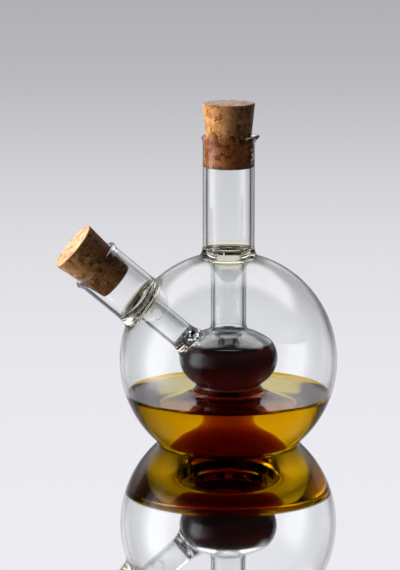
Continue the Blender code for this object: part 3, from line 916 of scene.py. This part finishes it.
# Two tapered stoppers of pressed cork granules, ground to shape and pushed in by
# hand. The top one is squeezed straight by the neck, the side one only wedges.

HEAD_RADIUS = 0.0125
SQUEEZED_RADIUS = NECK_BORE + 0.00005
TOP_CORK = {
    "Tip Radius": SQUEEZED_RADIUS, "Rim Radius": SQUEEZED_RADIUS, "Head Radius": HEAD_RADIUS,
    "Rim Height": 0.0140, "Length": 0.0308, "Grain Size": 0.0024, "Seed": 3,
}
SIDE_CORK = {
    "Tip Radius": 0.0094, "Rim Radius": 0.01115, "Head Radius": HEAD_RADIUS,
    "Rim Height": 0.0137, "Length": 0.0273, "Grain Size": 0.0023, "Seed": 11,
}
CORK_WEAR = {"Edge": 0.0006, "Crevice Depth": 0.00022, "Pit Depth": 0.00035}
TOP_CORK_START = np.array([0.0, 0.0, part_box("top_cork")[0].z])
SIDE_CORK_START = in_place(np.array([0.0, 0.0, 0.0717]))
WANDER_SCALE, WANDER = 420.0, 0.0016
PATCH_SCALE, FINE_SCALE = 260.0, 1500.0
CREVICE_WIDTH, CREVICE_PATCHES = (0.015, 0.085), (0.50, 0.60)
PIT_WIDTH, PIT_PATCHES = (0.14, 0.26), (0.36, 0.46)
RIM_BLUR, END_BLUR = (-0.0008, 0.0003), (-0.0005, -0.0001)
TAN_GRAIN, PALE_GRAIN = (0.37, 0.150, 0.038, 1.0), (0.60, 0.305, 0.118, 1.0)
DARK_GRAIN, CREVICE_BROWN = (0.24, 0.085, 0.022, 1.0), (0.05, 0.016, 0.005, 1.0)
STREAK = (0.72, 0.66, 0.60, 1.0)
# Painted light: in each pair the first factor brightens the cork inside the glass, which the lamp's light
# doesn't reach, and the second brightens its end face.
TOP_LIGHT_THROUGH_GLASS, TOP_END_LIGHT = (1.70, 1.22, 0.80, 1.0), (0.90, 1.0, 1.25, 1.0)
SIDE_LIGHT_THROUGH_GLASS, SIDE_END_LIGHT = (1.55, 1.40, 1.30, 1.0), (1.25, 1.65, 2.5, 1.0)


def grain_masks(paint, place, grain, seed):
    """Crevices between granules, small pits, and the granule's own tone."""
    drift = place.noise(WANDER_SCALE, 2.0, 1).vector("SUBTRACT", (0.5, 0.5, 0.5)).scaled(WANDER)
    shifted = place.vector("ADD", drift)
    shifted = shifted.vector("ADD", paint.make("ShaderNodeCombineXYZ", inputs={0: seed * 0.37}))
    granule = {"Vector": shifted, "Scale": 1.0 / grain}
    edge = paint.make("ShaderNodeTexVoronoi", {"feature": "DISTANCE_TO_EDGE"}, granule)
    tone = paint.make("ShaderNodeTexVoronoi", {"feature": "F1"}, granule, output=1)
    patchy = shifted.noise(PATCH_SCALE, 3.0)
    crevice = edge.between(*CREVICE_WIDTH, 1.0, 0.0) * patchy.between(*CREVICE_PATCHES)
    spot = paint.make("ShaderNodeTexVoronoi", {"feature": "F1"}, {"Vector": shifted, "Scale": 2.0 / grain})
    pit = spot.between(*PIT_WIDTH, 1.0, 0.0) * patchy.between(*PIT_PATCHES, 1.0, 0.0)
    return crevice, pit, tone


def cork_tree():
    """Geometry tree of a tapered, edge-worn stopper with crevices and pits."""
    tree = bpy.data.node_groups.new("tapered_cork", "GeometryNodeTree")
    tree.interface.new_socket("Geometry", in_out="OUTPUT", socket_type="NodeSocketGeometry")
    for name in ("Tip Radius", "Rim Radius", "Head Radius", "Rim Height", "Length", "Grain Size",
                 "Edge", "Crevice Depth", "Pit Depth"):
        tree.interface.new_socket(name, in_out="INPUT", socket_type="NodeSocketFloat")
    tree.interface.new_socket("Seed", in_out="INPUT", socket_type="NodeSocketInt")
    tree.interface.new_socket("Skin", in_out="INPUT", socket_type="NodeSocketMaterial")
    given = tree.nodes.new("NodeGroupInput")
    paint = Paint(tree)
    value = {socket.name: Paint(tree, socket) for socket in given.outputs if socket.name}
    length, edge = value["Length"], value["Edge"]
    body = paint.make("GeometryNodeMeshCylinder", {"fill_type": "TRIANGLE_FAN"}, {
        "Vertices": 200, "Side Segments": 84, "Fill Segments": 26, "Radius": 1.0, "Depth": length})
    place = paint.make("GeometryNodeInputPosition")
    x, y, z = (place.axis(k) for k in range(3))
    reach = (x * x + y * y).sum("SQRT")
    height = z + length * 0.5
    rim_height = value["Rim Height"]
    radius = height.between(0.0, rim_height, value["Tip Radius"], value["Rim Radius"], smooth=False)
    radius = radius + height.between(
        rim_height, length, 0.0, value["Head Radius"] - value["Rim Radius"], smooth=False)
    inset = (1.0 - reach) * radius
    depth = length * 0.5 - z.sum("ABSOLUTE")
    turn = ((inset - depth) / edge).sum("MINIMUM", 1.0)
    turn = (turn.sum("MAXIMUM", -1.0) + 1.0) * (math.pi / 4.0)
    away = radius - edge + edge * turn.sum("COSINE") - (inset - edge).sum("MAXIMUM", 0.0)
    rise = length * 0.5 - edge + edge * turn.sum("SINE") - (depth - edge).sum("MAXIMUM", 0.0)
    rise = rise * z.sum("SIGN") + length * 0.5
    spot = paint.make("ShaderNodeCombineXYZ", inputs={0: x / reach * away, 1: y / reach * away, 2: rise})
    body = paint.make("GeometryNodeSetPosition", inputs={"Geometry": body, "Position": spot})
    body = paint.make(
        "GeometryNodeStoreNamedAttribute", {"data_type": "FLOAT_VECTOR", "domain": "POINT"},
        {"Geometry": body, "Name": "cork_place", "Value": place})
    crevice, pit, tone = grain_masks(paint, place, value["Grain Size"], value["Seed"])
    sink = crevice * value["Crevice Depth"] + pit * value["Pit Depth"]
    sink = paint.make("GeometryNodeInputNormal").scaled(sink * -1.0)
    body = paint.make("GeometryNodeSetPosition", inputs={"Geometry": body, "Offset": sink})
    body = paint.make("GeometryNodeSetShadeSmooth", inputs={"Geometry": body})
    body = paint.make("GeometryNodeRealizeInstances", inputs={"Geometry": body})
    body = paint.make("GeometryNodeSetMaterial", inputs={"Geometry": body, "Material": value["Skin"]})
    tree.links.new(body.socket, tree.nodes.new("NodeGroupOutput").inputs[0])
    return tree


def cork_skin(name, sizes, light_through_glass, end_light):
    """Pressed cork: pale and dark granules, with painted light on the part inside the glass and on the end
    face.
    """
    material, shader, paint = new_material(name, IOR=1.45, Sheen_Weight=0.25, Sheen_Roughness=0.4)
    place = paint.make("ShaderNodeAttribute", {"attribute_name": "cork_place"}, output=1)
    crevice, pit, tone = grain_masks(paint, place, sizes["Grain Size"], sizes["Seed"])
    shade, other = (paint.make("ShaderNodeSeparateColor", inputs={0: tone}, output=k) for k in range(2))
    fine = place.noise(FINE_SCALE, 4.0)
    granule = shade.blend(TAN_GRAIN, PALE_GRAIN)
    granule = other.between(0.88, 0.94).blend(granule, DARK_GRAIN)
    granule = granule.vector("MULTIPLY", fine.between(0.30, 0.75).blend(STREAK, NO_TINT))
    height = place.axis(2)
    # Painted light: the cork inside the glass is made brighter.
    inside_glass = height.between(*(sizes["Rim Height"] + step for step in RIM_BLUR), 1.0, 0.0)
    # Painted light: the end face is made brighter, as if more light fell on it.
    on_end = height.between(*(sizes["Length"] + step for step in END_BLUR))
    granule = inside_glass.blend(granule, light_through_glass, "MULTIPLY")
    granule = on_end.blend(granule, end_light, "MULTIPLY")
    dark = crevice.sum("MAXIMUM", pit)
    colour = dark.blend(granule, CREVICE_BROWN)
    relief = fine * 0.4 - dark
    bumped = paint.make("ShaderNodeBump", inputs={"Strength": 0.35, "Distance": 0.0004, "Height": relief})
    feed(shader, Base_Color=colour, Roughness=fine.between(0.2, 0.8, 0.68, 0.92), Normal=bumped)
    return material


def made_cork(name, sizes, skin, axes, start):
    """A cork from the tree, as a plain piece in its place on its axis."""
    holder = placed(name + "_holder", bpy.data.meshes.new(name + "_holder"))
    maker = holder.modifiers.new("cork", "NODES")
    maker.node_group = stopper
    given = {**sizes, **CORK_WEAR, "Skin": skin}
    for socket in stopper.interface.items_tree:
        if socket.in_out == "INPUT":
            maker[socket.identifier] = given[socket.name]
    mesh = worked_out(holder, name)
    mesh.transform(Matrix(axes.T.tolist()).to_4x4())
    mesh.transform(Matrix.Translation(Vector(start.tolist())))
    return add_piece(mesh, skin)


stopper = cork_tree()
top_cork_skin = cork_skin("top_cork_skin", TOP_CORK, TOP_LIGHT_THROUGH_GLASS, TOP_END_LIGHT)
side_cork_skin = cork_skin("side_cork_skin", SIDE_CORK, SIDE_LIGHT_THROUGH_GLASS, SIDE_END_LIGHT)
top_stopper = made_cork("top_stopper", TOP_CORK, top_cork_skin, np.eye(3), TOP_CORK_START)
side_stopper = made_cork("side_stopper", SIDE_CORK, side_cork_skin, to_world, SIDE_CORK_START)
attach(top_stopper, "top_cork_body")
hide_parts("top_cork")
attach(side_stopper, "side_cork_body")
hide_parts("side_cork")


# Table, light and camera

# A glossy pale table that runs out to the studio's pale sweep, one soft lamp on
# the left, and a long lens a little above the globe.

TABLE_SIZE = 40.0
TABLE_DROP = 0.0003
VEIL_DROP = 0.00015
# The dark colour is painted shade in the table's mirror.
TABLE_PALE, TABLE_SHADE = (0.95, 0.95, 0.97, 1.0), (0.04, 0.04, 0.04, 1.0)


def flat_sheet(name, height, material):
    """Level square sheet of the table's size."""
    mesh = bpy.data.meshes.new(name)
    mesh.from_pydata([
        (x * TABLE_SIZE / 2.0, y * TABLE_SIZE / 2.0, height)
        for x, y in ((-1, -1), (1, -1), (1, 1), (-1, 1))], [], [(0, 1, 2, 3)])
    return add_piece(mesh, material)


def light_trail(paint, *names):
    """Readings of the light's path so far, by name."""
    return {name: paint.make("ShaderNodeLightPath", output=name) for name in names}


# The table is pale, with painted shade where the bottle's own faces mirror it from above.
table_gloss, table_shader, paint = new_material("glossy_pale_table", Metallic=1.0, Roughness=0.03)
trail = light_trail(paint, "Glossy Depth", "Transparent Depth")
off_object = (trail["Glossy Depth"] - (trail["Transparent Depth"] - 1.0) * 0.5) > 0.5
facing = paint.make("ShaderNodeLayerWeight", inputs={"Blend": 0.5}, output="Facing")
from_above = facing.between(0.45, 0.85, 1.0, 0.0)
feed(table_shader, Base_Color=(off_object * from_above).blend(TABLE_PALE, TABLE_SHADE))
table_top = flat_sheet("table_top", -TABLE_DROP, table_gloss)

# A clear sheet just over the table counts each bounce off the table, so that the
# sweep seen past the bottle keeps its colour and only the bottle mirrors the room.
veil_clear = bpy.data.materials.new("clear_sheet")
veil_clear.use_nodes = True
paint = Paint(veil_clear.node_tree)
paint.tree.links.new(
    paint.make("ShaderNodeBsdfTransparent").socket, paint.tree.nodes["Material Output"].inputs["Surface"])
table_veil = flat_sheet("table_veil", -VEIL_DROP, veil_clear)

# The room is fixed to the photograph's viewpoint: ahead is the level way from the
# first camera to the bottle, and bearings to the left of it are below zero.
CAMERA_TURN = math.radians(9.30)
AHEAD = (math.sin(CAMERA_TURN), math.cos(CAMERA_TURN))
ASIDE = (math.cos(CAMERA_TURN), -math.sin(CAMERA_TURN))
LIGHT_TINT = (1.0, 0.993, 1.035)
PANEL_STRENGTH = 2.5
ROOM_DARK = 0.01
ROOM_ON_CORK = 0.20
GLOW_STRENGTH = 2.8
GLOW_ON_CORK = 4.6
studio = bpy.data.worlds.new("pale_sweep")
bpy.context.scene.world = studio
studio.use_nodes = True
studio.cycles.sampling_method = "NONE"
paint = Paint(studio.node_tree)
direction = paint.make("ShaderNodeTexCoord", output=0)
along = [direction.axis(k) for k in range(3)]
steepness = along[2].sum("ABSOLUTE")
trail = light_trail(
    paint, "Is Diffuse Ray", "Diffuse Depth", "Glossy Depth", "Transparent Depth", "Transmission Depth")
ahead = along[0] * AHEAD[0] + along[1] * AHEAD[1]
aside = along[0] * ASIDE[0] + along[1] * ASIDE[1]
bearing = aside.sum("ARCTAN2", ahead) * (0.5 / math.pi) + 0.5


def grey_ramp(place, stops):
    """Grey level from places along a line, straight between them."""
    return paint.make("ShaderNodeValToRGB", {"stops": [
        (where, (level, level, level, 1.0)) for where, level in stops]}, {0: place})


def round_ramp(stops):
    """Grey level from bearings in degrees."""
    return grey_ramp(bearing, [(0.5 + degrees / 360.0, level) for degrees, level in stops])


# The sweep grows paler from the table's far edge upwards, and its picture in the
# table does the same downwards.
sweep = grey_ramp(steepness, [
    (0.0, 0.20), (0.12, 0.515), (0.1333, 0.588), (0.1467, 0.662), (0.16, 0.719), (0.1735, 0.770),
    (0.1868, 0.798), (0.2001, 0.828), (0.2134, 0.845), (0.24, 0.868), (0.30, 0.878), (1.0, 0.88)])
wall = sweep * along[2].between(0.42, 0.62, 1.0, 0.75)

# Mirrored in the bottle: the wall between dark sides, a bright panel above the far
# half, and on the left the softbox lamp's glow, which the area lamp leaves out.
wall_round = round_ramp([
    (-62, 0.03), (-50, 0.15), (-44, 0.80), (-30, 1.0), (8, 1.0),
    (20, 0.82), (30, 0.68), (38, 0.55), (46, 0.42), (52, 0.10), (62, 0.03)])
panel = along[2].between(0.48, 0.66) * ahead.between(0.02, 0.32)
glow_round = round_ramp([
    (-154, 0.0), (-132, 0.12), (-118, 0.4), (-107, 1.0), (-88, 1.0), (-79, 0.3), (-70, 0.0)])
glow = glow_round * steepness.between(0.34, 0.56, 1.0, 0.0) * GLOW_STRENGTH

# Light on the corks: little of the room, and the glow only where it comes through
# glass, because the area lamp lights the rest.
on_cork = trail["Diffuse Depth"] > 0.5
glow = glow * (1.0 - trail["Is Diffuse Ray"]) * (on_cork * (GLOW_ON_CORK - 1.0) + 1.0)
room_light = (wall * wall_round) * (1.0 - panel) + panel * PANEL_STRENGTH + ROOM_DARK
room_light = room_light * (on_cork * (ROOM_ON_CORK - 1.0) + 1.0) + glow

# Seen past the bottle or through it: the plain sweep, or the wall with softer dark
# sides. A way that meets the clear sheet or the lamp counts each as a pass, and two
# passes of the sheet take back the table's own mirroring.
past_round = round_ramp([
    (-90, 1.0), (-70, 0.6), (-58, 0.35), (-45, 0.8), (-34, 1.0), (8, 1.0),
    (20, 0.84), (30, 0.70), (40, 0.50), (54, 0.30), (70, 0.40), (100, 1.0)])
past_light = (trail["Transmission Depth"] > 0.5).blend(sweep, wall * past_round * 1.08)
mirrored = (trail["Glossy Depth"] - trail["Transparent Depth"] * 0.5) > 0.3
seen_past = (1.0 - mirrored) * (trail["Diffuse Depth"] < 0.5)
level = seen_past.blend(room_light, past_light)
light = level.vector("MULTIPLY", LIGHT_TINT)
paint.tree.links.new(light.socket, studio.node_tree.nodes["Background"].inputs["Color"])

LAMP_PLACE = Vector((-1.022, 0.242, 0.33))
LAMP_AIM = Vector((0.0, 0.0, 0.05))
lamp = bpy.data.lights.new("softbox", "AREA")
lamp.shape, lamp.size, lamp.size_y = "RECTANGLE", 1.3, 0.8
lamp.energy = 42.0
softbox = placed("softbox", lamp)
softbox.location = LAMP_PLACE
softbox.rotation_euler = (LAMP_AIM - LAMP_PLACE).to_track_quat("-Z", "Y").to_euler()
softbox.visible_camera = softbox.visible_glossy = softbox.visible_transmission = False

CAMERA_RISE = math.radians(11.68)
CAMERA_DISTANCE = 1.562
LOOK_HEIGHT = 0.0402
SENSOR_HEIGHT = 36.0
FRAME_PIXELS = 570.0
FOCAL_PIXELS = 3236.0
BOTTLE_PIXELS_RIGHT, BOTTLE_PIXELS_DOWN = 29.0, 74.5
camera = bpy.data.cameras.new("camera")
camera.sensor_fit, camera.sensor_height = "VERTICAL", SENSOR_HEIGHT
camera.lens = SENSOR_HEIGHT * FOCAL_PIXELS / FRAME_PIXELS
eye = placed("camera", camera)
bpy.context.scene.camera = eye
eye.location = Vector((0.0, 0.0, LOOK_HEIGHT)) + CAMERA_DISTANCE * Vector((
    -math.sin(CAMERA_TURN) * math.cos(CAMERA_RISE),
    -math.cos(CAMERA_TURN) * math.cos(CAMERA_RISE),
    math.sin(CAMERA_RISE)))
yaw = math.atan(BOTTLE_PIXELS_RIGHT / FOCAL_PIXELS)
pitch = CAMERA_RISE - math.atan(BOTTLE_PIXELS_DOWN / FOCAL_PIXELS * math.cos(yaw))
eye.rotation_euler = (math.pi / 2.0 - pitch, 0.0, yaw - CAMERA_TURN)

bpy.context.scene.view_settings.view_transform = "Standard"
bpy.context.scene.cycles.max_bounces = 32
bpy.context.scene.cycles.transmission_bounces = 32
bpy.context.scene.cycles.glossy_bounces = 16
